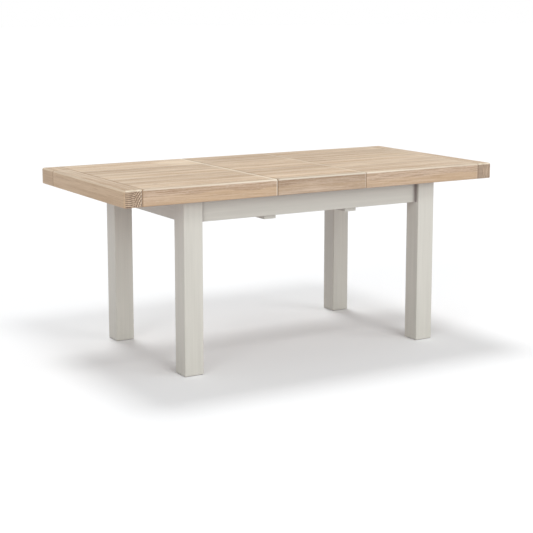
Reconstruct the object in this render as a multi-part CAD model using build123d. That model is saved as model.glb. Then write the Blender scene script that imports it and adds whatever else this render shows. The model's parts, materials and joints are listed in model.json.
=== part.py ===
from build123d import *
import math
import os

# Extending dining table with a folding leaf that stores under the top, modelled with the leaf in place.
# Millimetres. X runs along the table, Y from the front edge to the rear edge, Z up.
# The origin is on the floor, under the middle of the top.

# Overall size
height = 780.0
width = 855.0
leaf_length = 435.0
top_length = 677.0
joint_gap = 0.5

# Top
edge_depth = 68.0
edge_width = 35.0
panel_thickness = 20.0
outer_stick = 46.0
inner_stick = 30.0
stick_joint_y = 295.5
top_round = 8.0
lower_round = 4.0
corner_round = 9.0
joint_bevel = 2.0
stave_joints = (-298.0, -206.0, -88.0, 0.0, 64.0, 132.0, 204.0, 300.0)

# Painted frame
leg_size = 85.0
leg_outer_x = 618.0
leg_outer_y = 375.0
leg_round = 4.0
apron_recess = 20.0
apron_thickness = 25.0
apron_bottom = 621.0
apron_round = 2.0
glide_radius = 13.0
glide_height = 5.0
glide_reveal = 1.5

# Corner blocks and their hardware, placed along the diagonal through each leg
seat_depth = 12.0
seat_clearance = 2.0
block_depth = 32.0
block_bottom = 628.0
block_top = 684.0
bolt_radius = 4.0
bolt_in_leg = 45.0
bolt_tail = 14.0
washer_radius = 10.0
washer_thickness = 2.0
nut_radius = 7.5
nut_height = 6.5

# Guide rails on the frame, and the runners under each end of the top that slide in them
rail_inner_y = 250.0
rail_outer_y = 290.0
rail_half_length = 480.0
slot_neck = 12.0
slot_head = 21.0
slot_shoulder = 12.0
slot_depth = 24.0
slide_play = 0.5
runner_lift = 0.3
runner_inner_x = 225.0
runner_outer_x = 840.0
tongue_inner_x = 300.0
tongue_outer_x = 520.0
runner_screw_x = (262.0, 560.0, 700.0, 832.0)
pull_out = 45.0
stop_thickness = 22.0
stop_bottom = 695.0
stop_half_length = 245.0
stop_play = 0.2
stop_screw_y = (-170.0, 32.0, 170.0)
spacer_x = (-340.0, 0.0, 340.0)
spacer_size = 60.0
spacer_bottom = 635.0
spacer_screw_z = (650.0, 676.0)

# Battens across the underside of the frame, which carry the leaf mechanism
batten_x = 200.0
batten_width = 55.0
batten_thickness = 17.0
batten_half_length = 336.0
batten_screw_spread = 13.0

# Leaf mechanism: two pairs of equal swing arms carry the front half of the leaf
seam_gap = 0.5
seam_bevel = 2.0
arm_base_z = 640.0
arm_base_y = -138.5
arm_head_y = -230.0
arm_head_drop = 35.0
arm_spacing = 170.0
leaf_drop = 90.5
arm_width = 24.0
arm_inner_x = 200.0
arm_thickness = 4.0
bracket_gap = 2.0
bracket_thickness = 3.0
bracket_half = 16.0
base_flange = 20.0
head_flange = 23.0
bracket_screw_spread = 9.0
bracket_screw_place = 0.6
shaft_radius = 5.0
clip_radius = 8.0
clip_thickness = 1.5
pin_radius = 4.0
pin_head_radius = 7.0
pin_head_thickness = 2.5
running_play = 0.05
cleat_half_length = 180.0
cleat_lift = 0.2
cleat_screw_x = (-140.0, 0.0, 140.0)

# Fold hinges let into the ends of the leaf: each link turns on one half and is slotted for a pin in the other
pivot_y = 3.4
pivot_depth = 3.0
hinge_half_length = 29.5
hinge_thin_end = 10.0
hinge_height = 9.2
hinge_cover = 0.4
hinge_plate = 2.0
hinge_rebate = 4.3
hinge_fit = 0.1
link_radius = 2.6
link_pin_radius = 1.0

# Screws: how deep a head lies under a runner, cleat or rail, and how near a point comes to the surface
screw_point_cover = 6.0
deep_head = 20.0
rail_head = 15.0
rail_screw_length = 80.0
batten_screw_length = 45.0
bracket_screw_length = 14.0

# Worked out from the dimensions above
half_width = width / 2
leaf_half = leaf_length / 2
top_inner_x = leaf_half + joint_gap
half_length = top_inner_x + top_length
frame_top = height - edge_depth
panel_bottom = height - panel_thickness
edge_inner_y = half_width - edge_width
stick_x = half_length - outer_stick
board_x = stick_x - inner_stick
leg_inner_x = leg_outer_x - leg_size
leg_inner_y = leg_outer_y - leg_size
apron_outer_x = leg_outer_x - apron_recess
apron_outer_y = leg_outer_y - apron_recess
apron_inner_x = apron_outer_x - apron_thickness
apron_inner_y = apron_outer_y - apron_thickness
leg_x = leg_outer_x - leg_size / 2
leg_y = leg_outer_y - leg_size / 2
rail_y = (rail_inner_y + rail_outer_y) / 2
runner_bottom = frame_top + runner_lift
stop_outer_x = apron_inner_x - pull_out - stop_play
stop_x = stop_outer_x - stop_thickness / 2
batten_bottom = apron_bottom - batten_thickness
arm_head_z = height - arm_head_drop
arm_rise = arm_head_z - arm_base_z
arm_length = math.hypot(arm_head_y - arm_base_y, arm_rise)
arm_angle = math.atan2(arm_rise, arm_head_y - arm_base_y)
swing = arm_angle - math.asin((arm_rise - leaf_drop) / arm_length)
arm_outer_x = arm_inner_x + arm_thickness
base_bracket_x = arm_outer_x + bracket_gap
head_bracket_x = arm_inner_x - bracket_gap
shaft_end_x = base_bracket_x + bracket_thickness + bracket_gap + clip_thickness
hinge_x = leaf_half - hinge_rebate
hinge_top = height - hinge_cover
pivot_z = height - pivot_depth
fold_axis_z = pivot_z + pivot_y
slot_travel = 2 * pivot_y * (math.sqrt(2) - 1)

sides = (-1, 1)
upward = (Align.CENTER, Align.CENTER, Align.MIN)


# Shapes that many pieces use

def block(x, y, z):
    """Box between the two limits given for each axis."""
    limits = [sorted(pair) for pair in (x, y, z)]
    size = [high - low for low, high in limits]
    middle = [(high + low) / 2 for low, high in limits]
    return Pos(*middle) * Box(*size)


def span(side, near, far):
    """The stretch between two distances from the middle, on the given side of it."""
    return (side * near, side * far)


def rod(start, end, radius):
    """Round bar between two points."""
    path = Vector(*end) - Vector(*start)
    return Plane(origin=start, z_dir=path) * Cylinder(radius, path.length, align=upward)


def screw(head, point, radius=2.0):
    """Countersunk screw from the flat of its head to its point, with a cross recess."""
    path = Vector(*point) - Vector(*head)
    taper = 2 * radius
    body = Cylinder(radius, path.length - taper, align=upward)
    body += Cone(2 * radius, radius, radius, align=upward)
    body += Pos(0, 0, path.length - taper) * Cone(radius, radius / 8, taper, align=upward)
    for turn in (0, 90):
        body -= Rot(0, 0, turn) * Box(2.4 * radius, 0.5 * radius, 1.4 * radius)
    return Plane(origin=head, z_dir=path) * body


def screw_hole(head, point, radius=2.0, access=0.0):
    """Hole for such a screw, with a bore that reaches a head lying deep in the wood."""
    path = Vector(*point) - Vector(*head)
    shank = radius + running_play
    rim = 2 * radius + running_play
    hole = Cylinder(shank, path.length + running_play, align=upward)
    hole += Cone(rim, shank, radius, align=upward)
    if access:
        hole += Pos(0, 0, -access) * Cylinder(rim, access, align=upward)
    return Plane(origin=head, z_dir=path) * hole


def drilled(piece, screws, radius=2.0, access=0.0):
    """A piece with a hole for each screw, given as pairs of head and point."""
    for head, point in screws:
        piece -= screw_hole(head, point, radius, access)
    return piece


def screw_set(screws, radius=2.0):
    return [screw(head, point, radius) for head, point in screws]


def edges_at(shape, axis, value):
    """Edges whose middle lies at one place along an axis."""
    return [edge for edge in shape.edges() if abs(getattr(edge.center(), axis) - value) < 0.01]


def face_at(shape, axis, value):
    return [face for face in shape.faces() if abs(getattr(face.center(), axis) - value) < 0.01][0]


def save(name, shape):
    """Write one sub-part, as one solid or as a group of separate solids."""
    shapes = shape if isinstance(shape, list) else [shape]
    solids = [solid for one in shapes for solid in one.solids()]
    node = solids[0] if len(solids) == 1 else Compound(children=solids)
    node.label = name
    export_step(node, os.path.join("parts", name + ".step"))
    print(name, len(solids))


# Top: two sliding ends and a leaf between them, each cut from a rounded slab

def bevelled(slab, joint_x, outer_edges):
    """Slab with its visible edges bevelled where it meets its neighbour."""
    rim = [edge for edge in face_at(slab, "X", joint_x).edges() if outer_edges(edge.center())]
    return chamfer(rim, joint_bevel)


def end_slab(side):
    """One end of the top at full depth, rounded on its three outer sides."""
    joint_x = side * top_inner_x
    slab = block(span(side, top_inner_x, half_length), (-half_width, half_width), (frame_top, height))
    outside = [edge for edge in slab.edges().filter_by(Axis.Z) if abs(edge.center().X - joint_x) > 1]
    slab = fillet(outside, corner_round)
    for level, radius in ((height, top_round), (frame_top, lower_round)):
        rim = [edge for edge in edges_at(slab, "Z", level) if abs(edge.center().X - joint_x) > 1]
        slab = fillet(rim, radius)
    return bevelled(slab, joint_x, lambda middle: middle.Z > frame_top + 1)


def leaf_slab(side):
    """Front or rear half of the leaf at full depth, rounded on its outer side only."""
    seam_y = side * seam_gap / 2
    slab = block((-leaf_half, leaf_half), (seam_y, side * half_width), (frame_top, height))
    for level, radius in ((height, top_round), (frame_top, lower_round)):
        rim = [edge for edge in edges_at(slab, "Z", level) if abs(edge.center().Y - side * half_width) < 1]
        slab = fillet(rim, radius)
    for end in sides:
        slab = bevelled(
            slab,
            end * leaf_half,
            lambda middle: middle.Z > frame_top + 1 and abs(middle.Y - seam_y) > 1,
        )
    seam = [edge for edge in edges_at(slab, "Z", height) if abs(edge.center().Y - seam_y) < 1]
    return chamfer(seam, seam_bevel)


def staves(slab, x, y_limits, screws):
    """The glued-up staves of a panel, which run along the table."""
    pieces = []
    for low, high in zip(y_limits, y_limits[1:]):
        stave = slab & block(x, (low, high), (panel_bottom, height))
        inside = [pair for pair in screws if low < pair[0][1] < high]
        pieces.append(drilled(stave, inside))
    return pieces


def end_board(side, slab, screws):
    """Board across the end: a deep outer stick and a thinner inner stick with deep ends."""
    pieces = []
    for y in ((-half_width, stick_joint_y), (stick_joint_y, half_width)):
        pieces.append(slab & block(span(side, stick_x, half_length), y, (frame_top, height)))
        inner = slab & block(span(side, board_x, stick_x), y, (panel_bottom, height))
        pieces.append(drilled(inner, screws))
    for edge in sides:
        y = span(edge, edge_inner_y, half_width)
        pieces.append(slab & block(span(side, board_x, stick_x), y, (frame_top, panel_bottom)))
    return pieces


def long_edge(side, slab, edge):
    """Deep board along the front or rear of one end of the top."""
    y = span(edge, edge_inner_y, half_width)
    return slab & block(span(side, top_inner_x, board_x), y, (frame_top, height))


def runner(side, edge, screws):
    """Wooden runner under the top, with a T-shaped tongue that slides in the guide rail."""
    middle = edge * rail_y
    neck = slot_neck / 2 - slide_play
    head = slot_head / 2 - slide_play
    shoulder = frame_top - slot_shoulder - slide_play
    floor = frame_top - slot_depth + slide_play
    tongue_x = span(side, tongue_inner_x, tongue_outer_x)
    bar_x = span(side, runner_inner_x, runner_outer_x)
    bar = block(bar_x, span(edge, rail_inner_y, rail_outer_y), (runner_bottom, panel_bottom))
    bar += block(tongue_x, (middle - neck, middle + neck), (floor, runner_bottom))
    bar += block(tongue_x, (middle - head, middle + head), (floor, shoulder))
    return drilled(bar, screws, access=deep_head)


def upward_screw(x, y, head_z):
    """Screw driven up from below into the underside of a panel."""
    return ((x, y, head_z), (x, y, height - screw_point_cover))


def build_end(side, name):
    """One sliding end of the top with its runners and stop bar."""
    slab = end_slab(side)
    head_z = runner_bottom + deep_head
    by_edge = {
        edge: [upward_screw(side * x, edge * rail_y, head_z) for x in runner_screw_x] for edge in sides
    }
    stop_head = stop_bottom + deep_head
    stop_screws = [upward_screw(side * stop_x, y, stop_head) for y in stop_screw_y]
    all_screws = by_edge[-1] + by_edge[1] + stop_screws
    board_screws = [pair for pair in all_screws if abs(pair[0][0]) > board_x]
    panel_screws = [pair for pair in all_screws if abs(pair[0][0]) < board_x]
    y_limits = (-edge_inner_y, *stave_joints, edge_inner_y)
    save(name + "_end_board", end_board(side, slab, board_screws))
    save(name + "_top_planks", staves(slab, span(side, top_inner_x, board_x), y_limits, panel_screws))
    for edge, edge_name in zip(sides, ("front", "rear")):
        save(f"{name}_{edge_name}_edge", long_edge(side, slab, edge))
        save(f"{name}_{edge_name}_runner", runner(side, edge, by_edge[edge]))
    stop_bar = block(
        (side * stop_outer_x, side * (stop_outer_x - stop_thickness)),
        (-stop_half_length, stop_half_length),
        (stop_bottom, panel_bottom),
    )
    save(name + "_stop_bar", drilled(stop_bar, stop_screws, access=deep_head))
    save(name + "_top_screws", screw_set(all_screws))


# Leaf and its fold hinges

def hinge_recess(side):
    """Rebate in both ends of a leaf half, at the seam, for the fold hinges."""
    y = span(side, 0, hinge_half_length + hinge_fit)
    z = (hinge_top - hinge_height - hinge_fit, height + 1)
    return [block(span(end, hinge_x - hinge_fit, leaf_half + 1), y, z) for end in sides]


def hinge_rod(end, side, inner, outer, radius):
    """Round bar through a leaf half's pivot, across the end of the leaf."""
    y = side * pivot_y
    return rod((end * inner, y, pivot_z), (end * outer, y, pivot_z), radius)


def hinge_plates(side, slab):
    """Plates in the two ends of a leaf half, thinned near the pivot to let the link lie beside them.
    The front plates are bored for the links' pins, and the rear plates carry the pins in the links' slots."""
    plates = []
    z = (hinge_top - hinge_height, hinge_top)
    for end in sides:
        thin_x = span(end, hinge_x, hinge_x + hinge_plate)
        thick_x = span(end, hinge_x, leaf_half - 2 * hinge_fit)
        plate = block(thin_x, span(side, 0, hinge_half_length), z)
        plate += block(thick_x, span(side, hinge_thin_end, hinge_half_length), z)
        if side < 0:
            plate -= hinge_rod(end, side, hinge_x - 1, leaf_half, link_pin_radius + running_play)
        else:
            plate += hinge_rod(end, side, hinge_x + 1, leaf_half - 2 * hinge_fit, link_pin_radius)
        plates.append(plate & slab)
    return plates


def fold_links():
    """One link at each end of the leaf. Its pin turns in the front half's plate.
    Folding draws the rear half's pin along its slot, as far as the slot is long."""
    links = []
    inner = hinge_x + hinge_plate + hinge_fit
    thickness = leaf_half - hinge_fit - inner
    for end in sides:
        plane = Plane(origin=(end * inner, slot_travel / 2, pivot_z), x_dir=(0, 1, 0), z_dir=(end, 0, 0))
        outline = SlotCenterToCenter(2 * pivot_y + slot_travel, 2 * link_radius)
        slot = SlotCenterToCenter(slot_travel, 2 * (link_pin_radius + running_play))
        link = extrude(plane * (outline - Pos(pivot_y, 0) * slot), thickness)
        links.append(link + hinge_rod(end, -1, hinge_x + hinge_fit, inner + 1, link_pin_radius))
    return links


def leaf_cleat(side, screws):
    """Cleat under a leaf half, which rests on the guide rail."""
    y = span(side, rail_inner_y, rail_outer_y)
    bar = block((-cleat_half_length, cleat_half_length), y, (frame_top + cleat_lift, panel_bottom))
    return drilled(bar, screws, access=deep_head)


def build_leaf_half(side, name, bracket_screws):
    slab = leaf_slab(side)
    head_z = frame_top + cleat_lift + deep_head
    cleat_screws = [upward_screw(x, side * rail_y, head_z) for x in cleat_screw_x]
    inner = [y for y in stave_joints if side * y > 0]
    y_limits = sorted((side * edge_inner_y, *inner, 0.0))
    recess = hinge_recess(side)
    planks = staves(slab, (-leaf_half, leaf_half), y_limits, bracket_screws + cleat_screws)
    save(name + "_planks", [plank - recess for plank in planks])
    y = span(side, edge_inner_y, half_width)
    save(name + "_edge", slab & block((-leaf_half, leaf_half), y, (frame_top, height)))
    save(name + "_cleat", leaf_cleat(side, cleat_screws))
    save(name + "_hinge_plates", hinge_plates(side, slab))
    save(name + "_screws", screw_set(cleat_screws + bracket_screws))


# Swing arms, their shafts and their brackets

def arm_tilt(point_y):
    """Plane in which an arm lies, centred between its two pivots."""
    middle_y = point_y + (arm_head_y - arm_base_y) / 2
    direction = (0, math.cos(arm_angle), math.sin(arm_angle))
    return Plane(origin=(0, middle_y, arm_base_z + arm_rise / 2), x_dir=direction, z_dir=(1, 0, 0))


def swing_arms(base_y):
    """Left and right arm of one pair, fixed on the cross shaft and bored for the pins above."""
    head_y = base_y + arm_head_y - arm_base_y
    arms = []
    for end in sides:
        start = min(span(end, arm_inner_x, arm_outer_x))
        plane = arm_tilt(base_y).offset(start)
        arm = extrude(plane * SlotCenterToCenter(arm_length, arm_width), arm_thickness)
        for y, z, radius in ((base_y, arm_base_z, shaft_radius), (head_y, arm_head_z, pin_radius)):
            x = span(end, arm_inner_x - 1, arm_outer_x + 1)
            arm -= rod((x[0], y, z), (x[1], y, z), radius + running_play)
        arms.append(arm)
    return arms


def cross_shaft(base_y):
    """Shaft that ties the two arms of a pair together, with a clip outside each bracket."""
    pieces = [rod((-shaft_end_x, base_y, arm_base_z), (shaft_end_x, base_y, arm_base_z), shaft_radius)]
    for end in sides:
        inner = shaft_end_x - bracket_gap / 2 - clip_thickness
        start = (end * inner, base_y, arm_base_z)
        finish = (end * (inner + clip_thickness), base_y, arm_base_z)
        clip = rod(start, finish, clip_radius)
        pieces.append(clip - rod(start, finish, shaft_radius + running_play))
    return pieces


def base_bracket(end, base_y, screws):
    """Bracket on a batten: a flat foot and an upright ear with the shaft's bore."""
    y = (base_y - bracket_half, base_y + bracket_half)
    ear_x = span(end, base_bracket_x, base_bracket_x + bracket_thickness)
    bracket = block(ear_x, y, (apron_bottom, arm_base_z))
    bracket += rod((ear_x[0], base_y, arm_base_z), (ear_x[1], base_y, arm_base_z), bracket_half)
    foot_x = span(end, base_bracket_x, base_bracket_x + base_flange)
    bracket += block(foot_x, y, (apron_bottom, apron_bottom + bracket_thickness))
    bore = rod((0, base_y, arm_base_z), (end * leaf_half, base_y, arm_base_z), shaft_radius + running_play)
    return drilled(bracket - bore, screws)


def head_bracket(end, head_y, screws):
    """Bracket under the leaf: a flat foot and a hanging ear with the pin's bore."""
    y = (head_y - bracket_half, head_y + bracket_half)
    ear_y = (head_y - arm_width / 2, head_y + arm_width / 2)
    ear_x = span(end, head_bracket_x - bracket_thickness, head_bracket_x)
    bracket = block(ear_x, ear_y, (arm_head_z, panel_bottom))
    bracket += rod((ear_x[0], head_y, arm_head_z), (ear_x[1], head_y, arm_head_z), arm_width / 2)
    foot_x = span(end, head_bracket_x - head_flange, head_bracket_x)
    bracket += block(foot_x, y, (panel_bottom - bracket_thickness, panel_bottom))
    bore = rod((0, head_y, arm_head_z), (end * leaf_half, head_y, arm_head_z), pin_radius + running_play)
    return drilled(bracket - bore, screws)


def head_pin(end, head_y):
    """Headed pin fixed in the leaf's bracket, with a ring that keeps the arm on it."""
    def section(near, far, radius):
        return rod((end * near, head_y, arm_head_z), (end * far, head_y, arm_head_z), radius)
    ear_inner = head_bracket_x - bracket_thickness
    ring_inner = arm_outer_x + 2 * running_play
    pin_end = base_bracket_x - 2 * running_play
    pin = section(ear_inner - pin_head_thickness, ear_inner, pin_head_radius)
    pin += section(ear_inner - 1, pin_end, pin_radius)
    return pin + section(ring_inner, pin_end, pin_head_radius)


def pairs_of_screws(end, x, y, z, rise):
    """Two screws through a bracket's foot, one each side of its pivot."""
    places = [y - bracket_screw_spread, y + bracket_screw_spread]
    return [((end * x, place, z), (end * x, place, z + rise)) for place in places]


def build_mechanism():
    """Arms, shafts, pins and brackets, and the screws of the frame's brackets."""
    bases = (arm_base_y, arm_base_y + arm_spacing)
    heads = (arm_head_y, arm_head_y + arm_spacing)
    foot_x = base_bracket_x + bracket_screw_place * base_flange
    foot_top = apron_bottom + bracket_thickness
    base_screws = []
    brackets = []
    for end in sides:
        for y in bases:
            screws = pairs_of_screws(end, foot_x, y, foot_top, -bracket_screw_length)
            brackets.append(base_bracket(end, y, screws))
            base_screws += screws
    save("arm_base_brackets", brackets)
    save("base_bracket_screws", screw_set(base_screws))
    for y, name in zip(bases, ("front", "rear")):
        save(name + "_swing_arms", swing_arms(y))
        save(name + "_cross_shaft", cross_shaft(y))
    head_foot_x = head_bracket_x - bracket_screw_place * head_flange
    foot_bottom = panel_bottom - bracket_thickness
    head_screws = []
    brackets = []
    for end in sides:
        for y in heads:
            screws = pairs_of_screws(end, head_foot_x, y, foot_bottom, bracket_screw_length)
            brackets.append(head_bracket(end, y, screws))
            head_screws += screws
    save("arm_head_brackets", brackets)
    save("arm_head_pins", [head_pin(end, y) for end in sides for y in heads])
    return base_screws, head_screws


# Frame

def diagonal(side_x, side_y, depth, z):
    """Point on the diagonal through a leg, depth past its inner corner and towards its middle."""
    step = depth / math.sqrt(2)
    return (side_x * (leg_inner_x + step), side_y * (leg_inner_y + step), z)


def diagonal_plane(side_x, side_y, depth, z):
    """Plane across that diagonal, facing the middle of the table, with its X axis upright."""
    origin = diagonal(side_x, side_y, depth, z)
    return Plane(origin=origin, x_dir=(0, 0, 1), z_dir=(-side_x, -side_y, 0))


def bolt_line(side_x, side_y, start, finish, radius):
    """Round bar along the diagonal, level with the middle of the corner block."""
    z = (block_bottom + block_top) / 2
    return rod(diagonal(side_x, side_y, start, z), diagonal(side_x, side_y, finish, z), radius)


def leg(side_x, side_y):
    """Square leg, cut back at its inner corner to seat the corner block."""
    x = span(side_x, leg_inner_x, leg_outer_x)
    y = span(side_y, leg_inner_y, leg_outer_y)
    post = block(x, y, (glide_reveal, frame_top))
    post = fillet(post.edges().filter_by(Axis.Z), leg_round)
    post = chamfer(edges_at(post, "Z", glide_reveal), apron_round)
    seat = Box(frame_top - block_bottom + 2 * seat_clearance, leg_size, seat_depth + 1, align=upward)
    seat_z = (frame_top + block_bottom) / 2
    post -= diagonal_plane(side_x, side_y, seat_depth, seat_z) * seat
    post -= bolt_line(side_x, side_y, 0, bolt_in_leg + running_play, bolt_radius + running_play)
    centre = (side_x * leg_x, side_y * leg_y)
    return post - rod((*centre, 0), (*centre, glide_height), glide_radius + running_play)


def glide(side_x, side_y):
    """Plastic disc let into the foot of a leg."""
    x = side_x * leg_x
    y = side_y * leg_y
    disc = rod((x, y, 0), (x, y, glide_height), glide_radius)
    return fillet(edges_at(disc, "Z", 0), glide_reveal / 2)


def corner_block(side_x, side_y):
    """Brace across a corner of the frame, from one apron to the other, behind the leg."""
    corners = []
    for depth, order in ((seat_depth, 1), (seat_depth - block_depth, -1)):
        total = leg_inner_x + leg_inner_y + depth * math.sqrt(2)
        line = [(total - apron_inner_y, apron_inner_y), (apron_inner_x, total - apron_inner_x)]
        corners += line[::order]
    corners = [(side_x * x, side_y * y) for x, y in corners]
    outline = Pos(0, 0, block_bottom) * make_face(Polyline(*corners, close=True))
    brace = extrude(outline, block_top - block_bottom, dir=(0, 0, 1))
    reach = seat_depth - block_depth - 1
    return brace - bolt_line(side_x, side_y, reach, seat_depth + 1, bolt_radius + running_play)


def corner_hardware(side_x, side_y):
    """Hanger bolt, washer and nut that pull a leg into its corner."""
    face = seat_depth - block_depth
    under_nut = face - washer_thickness
    hole = bolt_line(side_x, side_y, face - block_depth, face + 1, bolt_radius + running_play)
    bolt = bolt_line(side_x, side_y, face - bolt_tail, bolt_in_leg, bolt_radius)
    washer = bolt_line(side_x, side_y, under_nut, face, washer_radius) - hole
    z = (block_bottom + block_top) / 2
    nut = extrude(diagonal_plane(side_x, side_y, under_nut, z) * RegularPolygon(nut_radius, 6), nut_height)
    return bolt, washer, nut - hole


def apron(x, y):
    board = block(x, y, (apron_bottom, frame_top))
    axis = Axis.X if abs(x[0] - x[1]) > abs(y[0] - y[1]) else Axis.Y
    lower = [edge for edge in edges_at(board, "Z", apron_bottom) if edge in board.edges().filter_by(axis)]
    return fillet(lower, apron_round)


def spacer_screws(side):
    """Long screws from inside a guide rail, through its spacers, into the apron."""
    start = side * (rail_inner_y + rail_head)
    finish = start + side * rail_screw_length
    return [((x, start, z), (x, finish, z)) for x in spacer_x for z in spacer_screw_z]


def batten_screws(side_x, side_y):
    """Screws from below through the end of a batten into the guide rail."""
    places = [batten_x - batten_screw_spread, batten_x + batten_screw_spread]
    y = side_y * rail_y
    low = batten_bottom
    return [((side_x * x, y, low), (side_x * x, y, low + batten_screw_length)) for x in places]


def guide_rail(side):
    """Rail along the frame with a T-slot in its top for the runners' tongues."""
    middle = side * rail_y
    x = (-rail_half_length, rail_half_length)
    rail = block(x, span(side, rail_inner_y, rail_outer_y), (apron_bottom, frame_top))
    neck = (middle - slot_neck / 2, middle + slot_neck / 2)
    head = (middle - slot_head / 2, middle + slot_head / 2)
    rail -= block(x, neck, (frame_top - slot_depth, frame_top))
    rail -= block(x, head, (frame_top - slot_depth, frame_top - slot_shoulder))
    rail = drilled(rail, spacer_screws(side), radius=2.5, access=rail_head)
    for side_x in sides:
        rail = drilled(rail, batten_screws(side_x, side))
    return rail


def rail_spacer(side, x):
    y = span(side, rail_outer_y, apron_inner_y)
    z = (spacer_bottom, spacer_bottom + spacer_size)
    piece = block((x - spacer_size / 2, x + spacer_size / 2), y, z)
    own = [pair for pair in spacer_screws(side) if pair[0][0] == x]
    return drilled(piece, own, radius=2.5)


def batten(side_x, base_screws):
    """Board under the guide rails that carries the feet of the swing arms."""
    x = span(side_x, batten_x - batten_width / 2, batten_x + batten_width / 2)
    board = block(x, (-batten_half_length, batten_half_length), (batten_bottom, apron_bottom))
    for side_y in sides:
        board = drilled(board, batten_screws(side_x, side_y))
    return drilled(board, [pair for pair in base_screws if pair[0][0] * side_x > 0])


def build_frame(base_screws):
    bolts = []
    washers = []
    nuts = []
    for side_y, y_name in zip(sides, ("front", "rear")):
        for side_x, x_name in zip(sides, ("left", "right")):
            save(f"{y_name}_{x_name}_leg", leg(side_x, side_y))
            save(f"{y_name}_{x_name}_corner_block", corner_block(side_x, side_y))
            bolt, washer, nut = corner_hardware(side_x, side_y)
            bolts.append(bolt)
            washers.append(washer)
            nuts.append(nut)
        long_apron = apron((-leg_inner_x, leg_inner_x), span(side_y, apron_inner_y, apron_outer_y))
        save(y_name + "_apron", drilled(long_apron, spacer_screws(side_y), radius=2.5))
        save(y_name + "_guide_rail", guide_rail(side_y))
    for side_x, x_name in zip(sides, ("left", "right")):
        short_apron = apron(span(side_x, apron_inner_x, apron_outer_x), (-leg_inner_y, leg_inner_y))
        save(x_name + "_apron", short_apron)
        save(x_name + "_batten", batten(side_x, base_screws))
    save("corner_bolts", bolts)
    save("corner_washers", washers)
    save("corner_nuts", nuts)
    save("foot_glides", [glide(side_x, side_y) for side_x in sides for side_y in sides])
    save("rail_spacers", [rail_spacer(side, x) for side in sides for x in spacer_x])
    save("rail_screws", screw_set(spacer_screws(-1) + spacer_screws(1), radius=2.5))
    under = [pair for side_x in sides for side_y in sides for pair in batten_screws(side_x, side_y)]
    save("batten_screws", screw_set(under))


os.makedirs("parts", exist_ok=True)
base_screws, head_screws = build_mechanism()
build_frame(base_screws)
build_end(-1, "left")
build_end(1, "right")
build_leaf_half(-1, "leaf_front", head_screws)
build_leaf_half(1, "leaf_rear", [])
save("fold_links", fold_links())
print("arm length", round(arm_length, 3), "swing", round(math.degrees(swing), 3), "degrees")
print("fold axis at z", round(fold_axis_z, 3), "slot travel", round(slot_travel, 3))
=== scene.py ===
import json
import math
import random
import bmesh
import bpy
from mathutils import Matrix, Vector

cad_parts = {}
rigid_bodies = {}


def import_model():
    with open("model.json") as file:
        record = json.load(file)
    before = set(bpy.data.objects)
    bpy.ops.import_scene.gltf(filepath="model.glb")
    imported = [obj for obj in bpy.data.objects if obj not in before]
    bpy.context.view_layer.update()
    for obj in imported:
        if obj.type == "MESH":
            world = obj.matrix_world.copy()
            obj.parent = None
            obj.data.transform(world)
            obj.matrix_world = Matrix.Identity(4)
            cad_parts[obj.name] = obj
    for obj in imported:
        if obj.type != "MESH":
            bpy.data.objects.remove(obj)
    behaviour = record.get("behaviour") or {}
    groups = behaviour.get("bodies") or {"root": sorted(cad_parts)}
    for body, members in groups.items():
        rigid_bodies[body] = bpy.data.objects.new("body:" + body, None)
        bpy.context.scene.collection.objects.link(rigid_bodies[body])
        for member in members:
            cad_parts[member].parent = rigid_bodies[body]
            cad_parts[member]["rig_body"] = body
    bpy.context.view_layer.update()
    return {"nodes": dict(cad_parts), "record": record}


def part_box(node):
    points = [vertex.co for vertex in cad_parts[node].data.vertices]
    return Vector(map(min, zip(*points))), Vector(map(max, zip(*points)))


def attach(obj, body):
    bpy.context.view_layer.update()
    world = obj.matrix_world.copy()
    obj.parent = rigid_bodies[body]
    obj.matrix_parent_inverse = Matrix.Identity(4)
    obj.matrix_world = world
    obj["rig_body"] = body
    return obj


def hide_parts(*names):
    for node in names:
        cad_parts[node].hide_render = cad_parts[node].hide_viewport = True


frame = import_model()
nodes = frame["nodes"]
print("frame loaded:", len(nodes), "nodes")


# Levels of a screen colour, 0 to 255, as a linear colour
def colour(red, green, blue):
    linear = [((level / 255 + 0.055) / 1.055) ** 2.4 for level in (red, green, blue)]
    return (*linear, 1.0)


# Node tree helpers
def feed(tree, value, socket):
    if isinstance(value, bpy.types.NodeSocket):
        tree.links.new(value, socket)
    else:
        socket.default_value = value


def addNode(tree, kind, inputs=(), **settings):
    node = tree.nodes.new(kind)
    for name, value in settings.items():
        setattr(node, name, value)
    for socket, value in dict(inputs).items():
        feed(tree, value, node.inputs[socket])
    return node


def maths(tree, operation, *values):
    return addNode(tree, "ShaderNodeMath", enumerate(values), operation=operation).outputs[0]


def times(tree, product, *others):
    for other in others:
        product = maths(tree, "MULTIPLY", product, other)
    return product


def magnitude(tree, value):
    return maths(tree, "ABSOLUTE", value)


def distance(tree, *parts):
    squares = [maths(tree, "POWER", part, 2.0) for part in parts]
    return maths(tree, "SQRT", maths(tree, "ADD", *squares))


def aboutZero(tree, noiseLevel):
    return maths(tree, "SUBTRACT", noiseLevel, 0.5)


# Limits that a dictionary keeps are in this order: low, high, toLow, toHigh
def remap(tree, value, low, high, toLow=0.0, toHigh=1.0, smooth=False):
    values = {"Value": value, "From Min": low, "From Max": high, "To Min": toLow, "To Max": toHigh}
    kind = "SMOOTHSTEP" if smooth else "LINEAR"
    return addNode(tree, "ShaderNodeMapRange", values, interpolation_type=kind).outputs["Result"]


def blendColour(tree, amount, first, second, kind="MIX"):
    inputs = {0: amount, 6: first, 7: second}  # the mixer has other sockets for numbers and vectors
    return addNode(tree, "ShaderNodeMix", inputs, data_type="RGBA", blend_type=kind).outputs[2]


def split(tree, vector):
    return addNode(tree, "ShaderNodeSeparateXYZ", {"Vector": vector}).outputs


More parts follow.
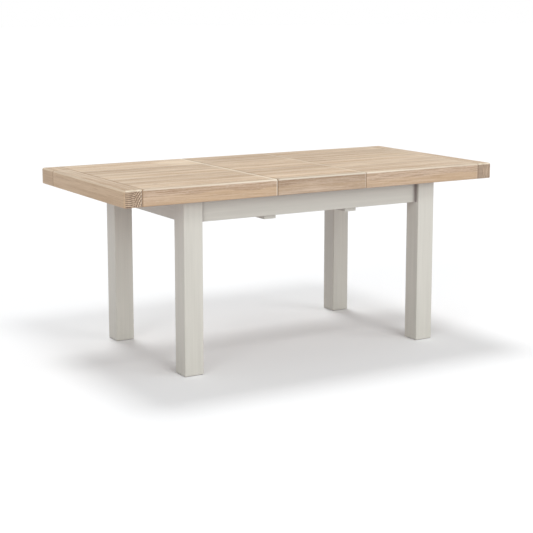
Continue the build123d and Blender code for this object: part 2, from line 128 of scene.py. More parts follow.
def attribute(tree, name):
    return addNode(tree, "ShaderNodeAttribute", attribute_name=name).outputs["Vector"]


def noise(tree, vector, scale, seed=0.0, detail=2.0, roughness=0.5):
    stretched = addNode(tree, "ShaderNodeMapping", {"Vector": vector, "Scale": scale}).outputs[0]
    values = {"Vector": stretched, "W": seed, "Scale": 1.0, "Detail": detail, "Roughness": roughness}
    return addNode(tree, "ShaderNodeTexNoise", values, noise_dimensions="4D").outputs["Fac"]


def addRelief(tree, shader, height, bump):
    relief = addNode(tree, "ShaderNodeBump", {"Height": height, **bump})
    feed(tree, relief.outputs[0], shader.inputs["Normal"])


def newGroup(name, inputs, outputs):
    group = bpy.data.node_groups.new(name, "ShaderNodeTree")
    for way, sockets in (("INPUT", inputs), ("OUTPUT", outputs)):
        for socketName, kind, value in sockets:
            socketType = "NodeSocket" + kind
            socket = group.interface.new_socket(name=socketName, in_out=way, socket_type=socketType)
            if value is not None:
                socket.default_value = value
    entry = group.nodes.new("NodeGroupInput")
    return group, entry.outputs, group.nodes.new("NodeGroupOutput").inputs


def useGroup(tree, group, inputs):
    return addNode(tree, "ShaderNodeGroup", inputs, node_tree=group).outputs


def newMaterial(name):
    material = bpy.data.materials.new(name)
    material.use_nodes = True
    shader = material.node_tree.nodes["Principled BSDF"]
    return material, material.node_tree, shader


def addObject(name, data):
    newObject = bpy.data.objects.new(name, data)
    bpy.context.scene.collection.objects.link(newObject)
    return newObject


# Floor, backdrop and light
studio = {
    "floorSize": 200.0,
    "floorColour": (0.94, 0.95, 0.96, 1),
    "floorBounce": (0.62, 0.56, 0.585, 1),  # the floor as other surfaces see it
    "shadowDepth": 0.96,  # how far a shadow darkens the white floor
    "worldLight": 0.456,
    "lamps": {
        "overheadBack": {"from": (0.07, 0.44, 1.0), "spread": 18, "strength": 1.18},
        "overheadFront": {"from": (0.03, -0.64, 1.0), "spread": 18, "strength": 0.7},
        "frontRight": {"from": (0.62, -0.75, 0.22), "spread": 38, "strength": 0.9},
        "frontLeft": {"from": (-0.8, -0.6, 0.4), "spread": 30, "strength": 0.54},
    },
}


def shownToCamera(tree):
    # camera, mirror and glass rays see the white studio, other rays only its light
    light = addNode(tree, "ShaderNodeLightPath").outputs
    seen = maths(tree, "MAXIMUM", light["Is Camera Ray"], light["Is Glossy Ray"])
    return maths(tree, "MAXIMUM", seen, light["Is Transmission Ray"])


def mixShaders(tree, amount, first, second):
    return addNode(tree, "ShaderNodeMixShader", [(0, amount), (1, first), (2, second)]).outputs[0]


def makeFloor(settings):
    mesh = bpy.data.meshes.new("floor")
    shape = bmesh.new()
    bmesh.ops.create_grid(shape, x_segments=1, y_segments=1, size=settings["floorSize"] / 2)
    shape.to_mesh(mesh)
    shape.free()
    material, tree, shader = newMaterial("whiteFloor")
    tree.nodes.remove(shader)
    lit = addNode(tree, "ShaderNodeBsdfDiffuse", {"Color": settings["floorColour"]}).outputs[0]
    bounce = addNode(tree, "ShaderNodeBsdfDiffuse", {"Color": settings["floorBounce"]}).outputs[0]
    white = addNode(tree, "ShaderNodeEmission", {"Strength": 1.0}).outputs[0]
    shown = mixShaders(tree, settings["shadowDepth"], white, lit)
    final = mixShaders(tree, shownToCamera(tree), bounce, shown)
    feed(tree, final, tree.nodes["Material Output"].inputs["Surface"])
    mesh.materials.append(material)
    floor = addObject("floor", mesh)


def makeWorld(settings):
    world = bpy.data.worlds.new("studio")
    world.use_nodes = True
    bpy.context.scene.world = world
    tree = world.node_tree
    strength = remap(tree, shownToCamera(tree), 0.0, 1.0, settings["worldLight"], 1.0)
    feed(tree, strength, tree.nodes["Background"].inputs["Strength"])
    tree.nodes["Background"].inputs["Color"].default_value = (1, 1, 1, 1)


def makeLamp(name, settings):
    lamp = bpy.data.lights.new(name, "SUN")
    lamp.angle = math.radians(settings["spread"])
    lamp.energy = settings["strength"]
    holder = addObject(name, lamp)
    holder.rotation_euler = Vector(settings["from"]).to_track_quat("Z", "Y").to_euler()


camera = {
    "at": (-2.8923, -4.8425, 1.4526),
    "yaw": 30.7008,  # clockwise from the +Y axis, in degrees
    "pitch": 8.9346,  # downwards
    "roll": 0.0111,
    "lens": 87.2,
    "shiftY": -0.1,
}


def makeCamera(settings):
    data = bpy.data.cameras.new("camera")
    data.lens = settings["lens"]
    data.shift_y = settings["shiftY"]
    holder = addObject("camera", data)
    holder.location = settings["at"]
    turns = (90 - settings["pitch"], settings["roll"], -settings["yaw"])
    holder.rotation_euler = [math.radians(turn) for turn in turns]
    bpy.context.scene.camera = holder


makeFloor(studio)
makeWorld(studio)
for lampName, lampSettings in studio["lamps"].items():
    makeLamp(lampName, lampSettings)
makeCamera(camera)
bpy.context.scene.view_settings.view_transform = "Standard"
print("studio and camera ready")


# Wood: growth rings, long streaks, fibres and pores of one board, whose grain runs along X
wood = {
    "sway": {"scale": (1.7, 7, 7)},  # long bends of the growth rings
    "swayReach": 0.05,
    "wobble": {"scale": (9, 45, 45), "detail": 3.0},  # their small unevenness
    "wobbleReach": 0.008,
    "ringRise": (0.25, 0.86),  # a ring darkens slowly and ends sharply
    "ringFall": (0.9, 1.0, 1.0, 0.0),
    "streaks": {"scale": (1.5, 24, 24), "detail": 3.0, "roughness": 0.6},
    "fibres": {"scale": (7, 230, 230), "detail": 3.0, "roughness": 0.6},
    "pores": {"scale": (60, 1100, 1100)},
    "poreLimits": (0.56, 0.68),
}


def makeGrainGroup(settings):
    group, given, out = newGroup(
        "boardGrain",
        [("Vector", "Vector", None), ("Seed", "Float", 0.0), ("Pith Y", "Float", 0.0),
         ("Pith Depth", "Float", 0.05), ("Lean", "Float", 0.03), ("Ring Width", "Float", 0.006)],
        [("Rings", "Float", None), ("Crossing", "Float", None), ("Streaks", "Float", None),
         ("Fibres", "Float", None), ("Pores", "Float", None)],
    )
    vector, seed = given["Vector"], given["Seed"]
    along, across, depth = split(group, vector)
    sway = aboutZero(group, noise(group, vector, seed=seed, **settings["sway"]))
    wobble = aboutZero(group, noise(group, vector, seed=seed, **settings["wobble"]))
    side = maths(group, "SUBTRACT", across, given["Pith Y"])
    side = maths(group, "MULTIPLY_ADD", sway, settings["swayReach"], side)
    for output, way in (("Rings", 1.0), ("Crossing", -1.0)):  # the second set slants the other way
        below = maths(group, "MULTIPLY_ADD", along, given["Lean"], given["Pith Depth"])
        below = maths(group, "MULTIPLY_ADD", depth, way, below)
        radius = maths(group, "MULTIPLY_ADD", wobble, settings["wobbleReach"], distance(group, side, below))
        turn = maths(group, "FRACT", maths(group, "DIVIDE", radius, given["Ring Width"]))
        rise = remap(group, turn, *settings["ringRise"], smooth=True)
        fall = remap(group, turn, *settings["ringFall"], smooth=True)
        feed(group, times(group, rise, fall), out[output])
    feed(group, noise(group, vector, seed=seed, **settings["streaks"]), out["Streaks"])
    feed(group, noise(group, vector, seed=seed, **settings["fibres"]), out["Fibres"])
    pores = noise(group, vector, seed=seed, **settings["pores"])
    feed(group, remap(group, pores, *settings["poreLimits"], smooth=True), out["Pores"])
    return group


boardGrain = makeGrainGroup(wood)
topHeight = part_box("right_end_board")[1].z
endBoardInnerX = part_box("right_end_board")[0].x
endJointX = endBoardInnerX + 0.0005  # lime with painted highlight and dirt with painted shade meet just on the end board's side of its joint
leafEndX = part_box("leaf_front_planks")[1].x

oak = {
    "pale": colour(213, 191, 165),
    "mid": colour(183, 158, 130),
    "dark": colour(150, 122, 94),
    "ringLine": colour(152, 122, 92),
    "orange": colour(200, 173, 138),
    "grey": colour(158, 140, 122),
    "endGround": colour(216, 196, 170),
    "endLine": colour(78, 54, 44),
    "lime": colour(230, 220, 200),
    "patch": colour(219, 200, 175),
    "knot": colour(120, 90, 66),
    "calm": colour(203, 180, 150),
    "endFacing": (0.8, 0.95),  # how squarely a face looks along its board to be end grain
    "sideFacing": (0.8, 0.4),  # how far up a face looks, from the top to a side
    "topFacing": (0.7, 0.9),
    "ringWidth": 0.0062,
    "endRingWidth": 0.0072,
    "streaks": (0.36, 0.66),
    "bandNoise": {"scale": (2.2, 75, 75)},
    "bands": (0.52, 0.68, 0.0, 0.45),
    "fibres": (0.42, 0.66, 0.0, 0.5),
    "fibresOnSides": 1.7,
    "rings": (0.35, 0.65, 0.5, 0.1),  # fainter where the streaks are pale
    "pores": 0.4,
    "warmDepths": (0.0295, 0.0355),  # below the top, where a long side becomes warmer
    "warmNoise": {"scale": (6, 40, 2), "detail": 3.0},
    "warmWave": (0.3, 0.7, -0.009, 0.009),
    "warmth": (0.35, 0.65, 0.6, 0.15),
    "marks": (  # knots, stains and pale patches of single staves
        {"at": (-0.31, 0.285), "reach": (0.12, 0.11), "strength": 0.65, "tint": "patch", "ragged": 4.0},
        {"at": (-0.706, -0.306), "reach": (0.014, 0.009), "strength": 0.6, "tint": "knot", "ragged": 1.2},
        {"at": (-0.487, -0.099), "reach": (0.03, 0.008), "strength": 0.35, "tint": "knot", "ragged": 2.0},
        {"at": (0.66, 0.065), "reach": (0.25, 0.045), "strength": 0.35, "tint": "orange", "ragged": 2.4},
        {"at": (-0.6, 0.1), "reach": (0.11, 0.02), "strength": 0.35, "tint": "dark", "ragged": 2.8},
        {"at": (0.02, 0.3), "reach": (0.16, 0.03), "strength": 0.3, "tint": "dark", "ragged": 2.8},
    ),
    "markEdge": (1.2, 0.5),
    "endNoise": {"scale": (2, 45, 8)},
    "endClouds": (0.4, 0.65, 0.0, 0.4),
    "endRings": 0.95,
    "endCrossing": 0.55,
    "endBorder": 0.55,  # dark line where the end grain meets the next board
    "endBorderReach": (0.002, 0.006),
    "calmEnds": 0.55,  # how plain the long sides of the end boards are
    "arrisFrom": (0.15, 0.4),  # rounded arrises hold more lime, and are paler as a painted highlight
    "arrisTo": (0.995, 0.95),
    "arrisLime": (0.0, 0.3, 0.85, 0.3),  # less on the ends than on the long sides
    "jointFacing": (0.5, 0.9),  # from a side face to the top
    "jointNarrow": 0.32,  # how narrow the strips beside a joint are on a side face
    "jointDeeper": 1.8,  # and how much stronger the dirt and painted shade are there
    "jointGap": 0.001,
    "limeStrip": (0.024, 0.0096),  # from the joint to where the strip starts and to where it is full
    "dirtStrip": (0.016, 0.0048),
    "joints": (  # across the boards, with lime and a painted highlight before each joint and dirt and painted shade after it
        {"axis": 0, "at": -endJointX, "lime": 0.15, "dirt": 0.7},
        {"axis": 0, "at": -leafEndX, "lime": 0.65, "dirt": 0.5},
        {"axis": 0, "at": leafEndX, "lime": 0.3, "dirt": 0.2},
        {"axis": 0, "at": endJointX, "lime": 0.1, "dirt": 0.2},
    ),
    "stickJoint": {"axis": 1, "at": 0.2955, "lime": 0.1, "dirt": 0.8},  # in the end boards only
    "sideLight": {0: (1.17, 1.21, 1.28), 1: (1.2, 1.21, 1.2)},  # by end axis, how much paler sides are, as painted light
    "sideLightFacing": (0.9, 0.3),
    "roughness": (0.3, 0.7, 0.5, 0.65),
    "specular": 0.3,
    "poreRelief": -0.6,
    "ringRelief": 0.4,
    "bump": {"Distance": 0.0004, "Strength": 0.6},
}


# What the colours of a board depend on: its attributes, its faces and its grain
def readBoard(tree, endAxis, settings):
    place = attribute(tree, "grainAt")
    seed, tone, ringScale = split(tree, attribute(tree, "board"))
    pithY, pithDepth, greyness = split(tree, attribute(tree, "pith"))
    texture = addNode(tree, "ShaderNodeTexCoord").outputs
    facing = split(tree, texture["Normal"])
    end = remap(tree, magnitude(tree, facing[endAxis]), *settings["endFacing"], smooth=True)
    ringWidth = remap(tree, end, 0.0, 1.0, settings["ringWidth"], settings["endRingWidth"])
    ringWidth = times(tree, ringWidth, ringScale)
    grain = useGroup(tree, boardGrain, {"Vector": place, "Seed": seed, "Pith Y": pithY,
                                        "Pith Depth": pithDepth, "Ring Width": ringWidth})
    return {
        "endAxis": endAxis,
        "place": place,
        "seed": seed,
        "tone": tone,
        "greyness": greyness,
        "position": split(tree, texture["Object"]),
        "facing": facing,
        "end": end,
        "side": remap(tree, facing[2], *settings["sideFacing"], smooth=True),
        "grain": grain,
    }


def longGrain(tree, board, settings):
    grain = board["grain"]
    streaks = remap(tree, grain["Streaks"], *settings["streaks"])
    base = blendColour(tree, streaks, settings["mid"], settings["pale"])
    bands = noise(tree, board["place"], seed=board["seed"], **settings["bandNoise"])
    base = blendColour(tree, remap(tree, bands, *settings["bands"]), base, settings["dark"])
    fibres = remap(tree, grain["Fibres"], *settings["fibres"])
    fibres = times(tree, fibres, remap(tree, board["side"], 0.0, 1.0, 1.0, settings["fibresOnSides"]))
    base = blendColour(tree, fibres, base, settings["dark"])
    rings = times(tree, grain["Rings"], remap(tree, grain["Streaks"], *settings["rings"]))
    base = blendColour(tree, rings, base, settings["ringLine"])
    return blendColour(tree, times(tree, grain["Pores"], settings["pores"]), base, settings["lime"])


# The lower part of a long side is warmer, with a wavy border
def warmLowerSides(tree, board, settings, base):
    limits = [topHeight - depth for depth in settings["warmDepths"]]
    wave = noise(tree, board["place"], seed=board["seed"], **settings["warmNoise"])
    height = maths(tree, "ADD", board["position"][2], remap(tree, wave, *settings["warmWave"]))
    lower = remap(tree, height, *limits, smooth=True)
    lower = times(tree, lower, board["side"], magnitude(tree, board["facing"][1]))
    warmth = times(tree, lower, remap(tree, board["grain"]["Streaks"], *settings["warmth"]))
    return blendColour(tree, warmth, base, settings["orange"])


def addMarks(tree, board, settings, base):
    flat = remap(tree, board["facing"][2], *settings["topFacing"], smooth=True)
    ruffle = aboutZero(tree, board["grain"]["Streaks"])
    for mark in settings["marks"]:
        parts = []
        for position, centre, reach in zip(board["position"], mark["at"], mark["reach"]):
            offset = maths(tree, "SUBTRACT", position, centre)
            parts.append(maths(tree, "DIVIDE", offset, reach))
        away = maths(tree, "MULTIPLY_ADD", ruffle, mark["ragged"], distance(tree, *parts))
        strength = remap(tree, away, *settings["markEdge"], 0.0, mark["strength"], smooth=True)
        base = blendColour(tree, times(tree, strength, flat), base, settings[mark["tint"]])
    return base


def endGrain(tree, board, settings):
    broad = noise(tree, board["place"], seed=board["seed"], **settings["endNoise"])
    clouds = remap(tree, broad, *settings["endClouds"])
    ends = blendColour(tree, clouds, settings["endGround"], settings["dark"])
    rings = times(tree, board["grain"]["Rings"], settings["endRings"])
    crossing = times(tree, board["grain"]["Crossing"], settings["endCrossing"])
    ends = blendColour(tree, maths(tree, "MAXIMUM", rings, crossing), ends, settings["endLine"])
    ends = blendColour(tree, board["greyness"], ends, settings["grey"])
    limits = [endBoardInnerX + reach for reach in settings["endBorderReach"]]
    inner = remap(tree, magnitude(tree, board["position"][0]), *limits, 1.0, 0.0, smooth=True)
    return blendColour(tree, times(tree, inner, settings["endBorder"]), ends, settings["endLine"])


# The end boards' long sides are plainer, and a grey stick is grey on its sides and its end
def sidesAndEnds(tree, board, settings, base):
    if board["endAxis"] == 1:
        calm = times(tree, board["side"], magnitude(tree, board["facing"][0]), settings["calmEnds"])
        base = blendColour(tree, calm, base, settings["calm"])
    base = blendColour(tree, times(tree, board["greyness"], board["side"]), base, settings["grey"])
    return blendColour(tree, board["end"], base, endGrain(tree, board, settings))


# Lime on the rounded arrises, which also stands for a painted highlight
def limeAndHighlightOnArrises(tree, board, settings, base):
    facing = board["facing"]
    low = remap(tree, facing[2], *settings["arrisFrom"], smooth=True)
    high = remap(tree, facing[2], *settings["arrisTo"], smooth=True)
    strength = remap(tree, magnitude(tree, facing[0]), *settings["arrisLime"])
    return blendColour(tree, times(tree, low, high, strength), base, settings["lime"])


# Lime and a painted highlight lie on one side of a joint across the boards, dirt and painted shade on the
# other
def jointLimeHighlightDirtAndShade(tree, board, settings, base):
    narrow = remap(tree, board["facing"][2], *settings["jointFacing"], settings["jointNarrow"], 1.0)
    deeper = remap(tree, board["facing"][2], *settings["jointFacing"], settings["jointDeeper"], 1.0)
    gap = settings["jointGap"]
    limeAndHighlightStart, limeAndHighlightFull = settings["limeStrip"]
    joints = list(settings["joints"])
    if board["endAxis"] == 1:
        joints.append(settings["stickJoint"])
    for joint in joints:
        past = maths(tree, "SUBTRACT", board["position"][joint["axis"]], joint["at"])
        past = maths(tree, "DIVIDE", past, narrow)
        # the pale strip is lime and a painted highlight, the dark strip dirt and painted shade
        lime = times(tree, remap(tree, past, -limeAndHighlightStart, -limeAndHighlightFull), remap(tree, past, 0.0, -gap))
        dirt = times(tree, remap(tree, past, *settings["dirtStrip"]), remap(tree, past, -gap, 0.0))
        base = blendColour(tree, times(tree, lime, joint["lime"]), base, settings["lime"])
        base = blendColour(tree, times(tree, dirt, deeper, joint["dirt"]), base, settings["dark"])
    return base


# Each board's own tone, with its sides made paler as painted light
def toneAndPaintedSideLight(tree, board, settings, base):
    facing = board["facing"][2]
    lit = [times(tree, board["tone"], remap(tree, facing, *settings["sideLightFacing"], 1.0, light))
           for light in settings["sideLight"][board["endAxis"]]]
    shade = addNode(tree, "ShaderNodeCombineXYZ", zip("XYZ", lit)).outputs[0]
    return blendColour(tree, 1.0, base, shade, "MULTIPLY")


# Limed oak for a node whose boards run along X, with end axis 0, or along Y, with end axis 1
def makeOak(name, endAxis, settings):
    material, tree, shader = newMaterial(name)
    board = readBoard(tree, endAxis, settings)
    base = longGrain(tree, board, settings)
    for layer in (warmLowerSides, addMarks, sidesAndEnds, limeAndHighlightOnArrises, jointLimeHighlightDirtAndShade, toneAndPaintedSideLight):
        base = layer(tree, board, settings, base)
    feed(tree, base, shader.inputs["Base Color"])
    grain = board["grain"]
    feed(tree, remap(tree, grain["Fibres"], *settings["roughness"]), shader.inputs["Roughness"])
    shader.inputs["Specular IOR Level"].default_value = settings["specular"]
    relief = maths(tree, "MULTIPLY_ADD", grain["Pores"], settings["poreRelief"], grain["Fibres"])
    relief = maths(tree, "MULTIPLY_ADD", grain["Rings"], settings["ringRelief"], relief)
    addRelief(tree, shader, relief, settings["bump"])
    return material


oakAlong = makeOak("limedOakAlong", 0, oak)
oakAcross = makeOak("limedOakAcross", 1, oak)


# Oak boards: each node's boards are parted, eased along their joints and given their own grain
boards = {
    "ease": 0.0008,  # width of the eased edges of the end boards and the edge boards
    "staveEase": 0.0003,
    "outerStick": 0.046,  # width of the outer stick of an end board
    "tones": {  # from the front stave to the back one
        "left_top_planks": (1.09, 1.02, 0.99, 1.07, 0.95, 0.99, 0.94, 1.03, 1.08),
        "leaf_front_planks": (1.14, 1.06, 0.98, 1.07),
        "leaf_rear_planks": (1.02, 1.05, 0.99, 0.92, 0.97),
        "right_top_planks": (1.03, 1.0, 0.99, 1.08, 0.94, 0.96, 0.96, 0.92, 0.98),
    },
    "edgeTones": {"leaf_front_edge": 0.87, "left_front_edge": 1.03},
    "toneSpread": 0.03,
    # by a stick's side, whether it is the outer one, and whether it is behind the stick joint:
    # how far its pith is across and below its middle, how grey it is, and how wide its rings are
    "piths": {
        ("left", True, False): (0.02, 0.16, 0.0, 1.0),
        ("left", False, False): (-0.11, 0.08, 0.0, 1.3),
        ("left", True, True): (-0.04, 0.12, 0.35, 1.0),
        ("left", False, True): (-0.13, 0.09, 0.3, 1.0),
        ("right", True, False): (0.16, 0.02, 0.35, 1.15),
        ("right", False, False): (0.19, 0.05, 0.7, 1.15),
    },
    "pithSpread": 0.03,  # how far to either side the pith of any other board may be
    "otherPiths": (0.05, 0.0, 1.0),  # and the last three values of such a board
    "grainSpread": 40,
    "seed": 11,
}
meshLimits = {
    "jointFacing": 0.99,  # a large face that looks along Y is the side of a stave
    "jointArea": 0.0015,
    "justInside": 1e-4,
    "merge": 1e-6,
    "flat": math.radians(0.3),
    "sharp": math.radians(60),
    "smooth": math.radians(35),
    "uprightLength": 0.02,
    "uprightLean": 1e-5,
    "abovePanel": 0.001,
}
dice = random.Random(boards["seed"])
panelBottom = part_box("left_top_planks")[0].z
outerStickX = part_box("right_end_board")[1].x - boards["outerStick"]


def staveJoints(mesh):
    faces = [face for face in mesh.polygons
             if abs(face.normal.y) > meshLimits["jointFacing"] and face.area > meshLimits["jointArea"]]
    return sorted({round(face.center.y, 5) for face in faces})


def staveIndex(joints):
    return lambda point: sum(point.y > joint for joint in joints)


def endBoardIndex(point):
    outer = abs(point.x) > outerStickX
    tip = not outer and point.z < panelBottom
    return ("left" if point.x < 0 else "right", outer, point.y > oak["stickJoint"]["at"], tip)


def inside(face):
    return face.calc_center_median() - face.normal * meshLimits["justInside"]


# The upright corners and the upper edges of a board are eased
def isEased(edge):
    first, second = (vert.co for vert in edge.verts)
    tall = abs(second.z - first.z) > meshLimits["uprightLength"]
    upright = tall and (second - first).xy.length < meshLimits["uprightLean"]
    high = min(first.z, second.z) > panelBottom + meshLimits["abovePanel"]
    return (upright or high) and len(edge.link_faces) == 2 and edge.calc_face_angle() > meshLimits["sharp"]


# One board out of the node's loose triangles, merged and eased
def partBoard(source, indexOf, index, ease):
    piece = source.copy()
    away = [face for face in piece.faces if indexOf(inside(face)) != index]
    bmesh.ops.delete(piece, geom=away, context="FACES")
    bmesh.ops.remove_doubles(piece, verts=piece.verts, dist=meshLimits["merge"])
    bmesh.ops.dissolve_limit(piece, angle_limit=meshLimits["flat"], verts=piece.verts, edges=piece.edges)
    eased = [edge for edge in piece.edges if isEased(edge)]
    bmesh.ops.bevel(piece, geom=eased, offset=ease, affect="EDGES", segments=2, profile=0.5, material=-1)
    return piece


def partSticks(source, indexOf, along, ease):
    sticks = {}
    for index in sorted({indexOf(inside(face)) for face in source.faces}):
        stick = index[:3] if along == "Y" else index  # the tip of an end board belongs to its inner stick
        sticks.setdefault(stick, []).append(partBoard(source, indexOf, index, ease))
    return sticks


def middleOf(pieces):
    points = [vert.co for piece in pieces for vert in piece.verts]
    low = Vector([min(point[axis] for point in points) for axis in range(3)])
    high = Vector([max(point[axis] for point in points) for axis in range(3)])
    return (low + high) / 2


# What the board and pith attributes of one stick say
def stickFacts(nodeName, stick, count):
    tones = boards["tones"].get(nodeName)
    tone = tones[count] if tones else 1 + dice.uniform(-1, 1) * boards["toneSpread"]
    tone *= boards["edgeTones"].get(nodeName, 1.0)
    seed = dice.uniform(0, boards["grainSpread"])
    spread = boards["pithSpread"]
    anyPith = (dice.uniform(-spread, spread), *boards["otherPiths"])
    *pith, ringScale = boards["piths"].get(stick, anyPith)
    return (seed, tone, ringScale), pith


def addTo(whole, piece):
    single = bpy.data.meshes.new("single")
    piece.to_mesh(single)
    piece.free()
    first = len(whole.verts)
    whole.from_mesh(single)
    bpy.data.meshes.remove(single)
    whole.verts.ensure_lookup_table()
    return whole.verts[first:]


def shadeSmooth(whole):
    for face in whole.faces:
        face.smooth = True
    for edge in whole.edges:
        edge.smooth = len(edge.link_faces) == 2 and edge.calc_face_angle() < meshLimits["smooth"]


# grainAt is the place in the stick, turned so that its grain runs along X
def oakPiece(nodeName, indexOf, along, material, ease):
    node = nodes[nodeName]
    source = bmesh.new()
    source.from_mesh(node.data)
    source.normal_update()
    sticks = partSticks(source, indexOf, along, ease)
    source.free()
    turn = Matrix.Rotation(-math.pi / 2, 3, "Z") if along == "Y" else Matrix.Identity(3)
    whole = bmesh.new()
    grainAt = whole.verts.layers.float_vector.new("grainAt")
    board = whole.verts.layers.float_vector.new("board")
    pith = whole.verts.layers.float_vector.new("pith")
    for count, (stick, pieces) in enumerate(sticks.items()):
        middle = middleOf(pieces)
        boardFacts, pithFacts = stickFacts(nodeName, stick, count)
        for piece in pieces:
            for vert in addTo(whole, piece):
                vert[grainAt] = turn @ (vert.co - middle)
                vert[board] = boardFacts
                vert[pith] = pithFacts
    shadeSmooth(whole)
    mesh = bpy.data.meshes.new(nodeName + "_oak")
    whole.to_mesh(mesh)
    whole.free()
    mesh.materials.append(material)
    piece = addObject(nodeName + "_oak", mesh)
    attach(piece, node["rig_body"])
    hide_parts(nodeName)


for side in ("left", "right"):
    oakPiece(side + "_end_board", endBoardIndex, "Y", oakAcross, boards["ease"])
for name in ("left_top_planks", "right_top_planks", "leaf_front_planks", "leaf_rear_planks"):
    oakPiece(name, staveIndex(staveJoints(nodes[name].data)), "X", oakAlong, boards["staveEase"])
for name in sorted(nodes):
    if name.endswith("_edge"):
        oakPiece(name, lambda point: 0, "X", oakAlong, boards["ease"])
print("oak boards made")


# Finishes of the pieces that stay as they come from the frame
paint = {
    "colour": colour(217, 217, 207),
    "shade": colour(210, 210, 200),
    "corner": colour(150, 140, 138),
    "cornerReach": 0.022,  # how far the painted shade between leg and apron spreads from where they meet
    "cornerDepth": 0.75,
    "inwardFacing": (-0.7, -0.9),
    "apronBorder": 0.002,
    "streakNoise": {"scale": (2.5, 60, 60), "seed": 3.0, "detail": 3.0, "roughness": 0.6},
    "streaks": (0.35, 0.65),
    "peelNoise": {"scale": (900, 900, 900), "seed": 1.0, "detail": 1.0},
    "peelRelief": 0.25,
    "roughness": (0.3, 0.7, 0.4, 0.51),
    "bump": {"Distance": 0.0003, "Strength": 0.4},
}
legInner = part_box("rear_right_leg")[0]
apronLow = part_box("rear_apron")[0].z
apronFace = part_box("rear_apron")[1].y


# Object coordinates turned so that the grain or the brush marks run along X
def objectPlace(tree, axis):
    place = addNode(tree, "ShaderNodeTexCoord").outputs["Object"]
    turn = {"X": (0, 0, 0), "Y": (0, 0, -math.pi / 2), "Z": (0, math.pi / 2, 0)}[axis]
    return addNode(tree, "ShaderNodeMapping", {"Vector": place, "Rotation": turn}).outputs[0]


# The last stretch of a front or rear apron before the legs, where shade is painted
def apronCornerShade(tree, settings):
    position = split(tree, addNode(tree, "ShaderNodeTexCoord").outputs["Object"])
    start = legInner.x - settings["cornerReach"]
    return remap(tree, magnitude(tree, position[0]), start, legInner.x, smooth=True)


# The faces of a leg that look at the aprons, above the aprons' lower edge, near the aprons' faces, where
# shade is painted
def legCornerShade(tree, settings):
    texture = addNode(tree, "ShaderNodeTexCoord").outputs
    position = split(tree, texture["Object"])
    facing = split(tree, texture["Normal"])
    inward = times(tree, facing[0], maths(tree, "SIGN", position[0]))
    inward = remap(tree, inward, *settings["inwardFacing"], smooth=True)
    border = settings["apronBorder"]
    high = remap(tree, position[2], apronLow - border, apronLow + border, smooth=True)
    start = apronFace + settings["cornerReach"]
    near = remap(tree, magnitude(tree, position[1]), start, apronFace, smooth=True)
    return times(tree, inward, high, near)


cornerShadeOf = {"X": apronCornerShade, "Z": legCornerShade}


def makePaint(axis, settings):
    material, tree, shader = newMaterial("warmGreyPaint" + axis)
    place = objectPlace(tree, axis)
    streaks = noise(tree, place, **settings["streakNoise"])
    peel = noise(tree, place, **settings["peelNoise"])
    amount = remap(tree, streaks, *settings["streaks"])
    base = blendColour(tree, amount, settings["shade"], settings["colour"])
    # painted shade where the legs and the aprons meet
    if axis in cornerShadeOf:
        corner = times(tree, cornerShadeOf[axis](tree, settings), settings["cornerDepth"])
        base = blendColour(tree, corner, base, settings["corner"])
    feed(tree, base, shader.inputs["Base Color"])
    feed(tree, remap(tree, streaks, *settings["roughness"]), shader.inputs["Roughness"])
    relief = maths(tree, "MULTIPLY_ADD", peel, settings["peelRelief"], streaks)
    addRelief(tree, shader, relief, settings["bump"])
    return material


hardwood = {
    "pale": colour(214, 188, 152),
    "dark": colour(186, 156, 118),
    "fleck": colour(160, 126, 90),
    "seed": 5.0,
    "ringWidth": 0.009,
    "streaks": (0.35, 0.65),
    "rings": 0.25,
    "pores": 0.5,
    "roughness": 0.62,
    "bump": {"Distance": 0.0003, "Strength": 0.5},
}


def makeHardwood(axis, settings):
    material, tree, shader = newMaterial("bareHardwood" + axis)
    grain = useGroup(tree, boardGrain, {"Vector": objectPlace(tree, axis), "Seed": settings["seed"],
                                        "Ring Width": settings["ringWidth"]})
    streaks = remap(tree, grain["Streaks"], *settings["streaks"])
    base = blendColour(tree, streaks, settings["dark"], settings["pale"])
    base = blendColour(tree, times(tree, grain["Rings"], settings["rings"]), base, settings["fleck"])
    base = blendColour(tree, times(tree, grain["Pores"], settings["pores"]), base, settings["fleck"])
    feed(tree, base, shader.inputs["Base Color"])
    shader.inputs["Roughness"].default_value = settings["roughness"]
    addRelief(tree, shader, grain["Fibres"], settings["bump"])
    return material


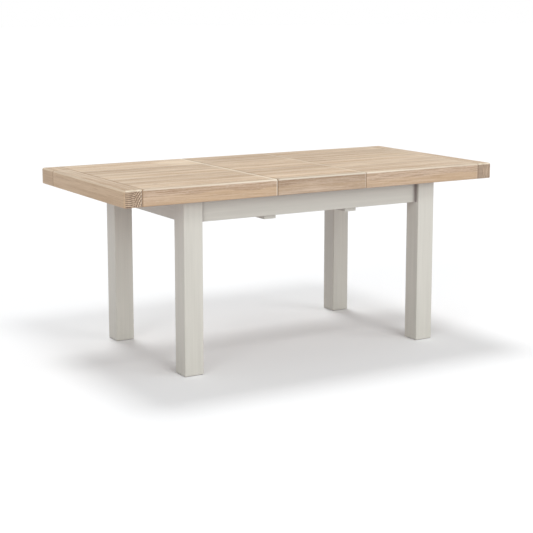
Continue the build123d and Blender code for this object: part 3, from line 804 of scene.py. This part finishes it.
fittings = {
    "mechanism_steel": {"colour": colour(38, 38, 40), "shade": colour(28, 28, 30), "metallic": 0.0,
                        "roughness": (0.44, 0.58), "grain": 1400, "bump": 0.0002},
    "zinc_steel": {"colour": colour(206, 208, 210), "shade": colour(176, 180, 184), "metallic": 1.0,
                   "roughness": (0.26, 0.4), "grain": 260, "bump": 0.00005},
    "hinge_brass": {"colour": colour(172, 144, 92), "shade": colour(142, 114, 66), "metallic": 1.0,
                    "roughness": (0.44, 0.58), "grain": 320, "bump": 0.00005},
    "glide_plastic": {"colour": colour(150, 147, 142), "shade": colour(134, 131, 126), "metallic": 0.0,
                      "roughness": (0.49, 0.63), "grain": 700, "bump": 0.0001},
}
fittingWear = {
    "speckle": {"seed": 2.0, "detail": 2.0},
    "speckleLimits": (0.4, 0.6),
    "cloud": {"scale": (40, 40, 40), "seed": 8.0, "detail": 2.0},
    "cloudLimits": (0.35, 0.65),
    "bumpStrength": 0.5,
}


def makeFitting(name, settings, wear):
    material, tree, shader = newMaterial(name)
    place = addNode(tree, "ShaderNodeTexCoord").outputs["Object"]
    speckle = noise(tree, place, [settings["grain"]] * 3, **wear["speckle"])
    cloud = noise(tree, place, **wear["cloud"])
    amount = remap(tree, speckle, *wear["speckleLimits"])
    feed(tree, blendColour(tree, amount, settings["shade"], settings["colour"]), shader.inputs["Base Color"])
    shader.inputs["Metallic"].default_value = settings["metallic"]
    feed(tree, remap(tree, cloud, *wear["cloudLimits"], *settings["roughness"]), shader.inputs["Roughness"])
    addRelief(tree, shader, speckle, {"Distance": settings["bump"], "Strength": wear["bumpStrength"]})
    return material


paints = {axis: makePaint(axis, paint) for axis in "XYZ"}
hardwoods = {axis: makeHardwood(axis, hardwood) for axis in "XY"}
fittingFinishes = {name: makeFitting(name, settings, fittingWear) for name, settings in fittings.items()}


def longAxis(name):
    low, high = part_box(name)
    size = high - low
    return "XYZ"[max(range(3), key=lambda axis: size[axis])]


def finishFor(name, slotName):
    if slotName == "warm_grey_paint":
        return paints[longAxis(name)]
    if slotName == "bare_hardwood":
        return hardwoods["Y" if longAxis(name) == "Y" else "X"]
    return fittingFinishes[slotName]


for part in frame["record"]["subparts"]:
    node = nodes[part["node"]]
    if part["material_slot"] != "limed_oak":
        node.data.materials.clear()
        node.data.materials.append(finishFor(part["node"], part["material_slot"]))
print("finishes set")
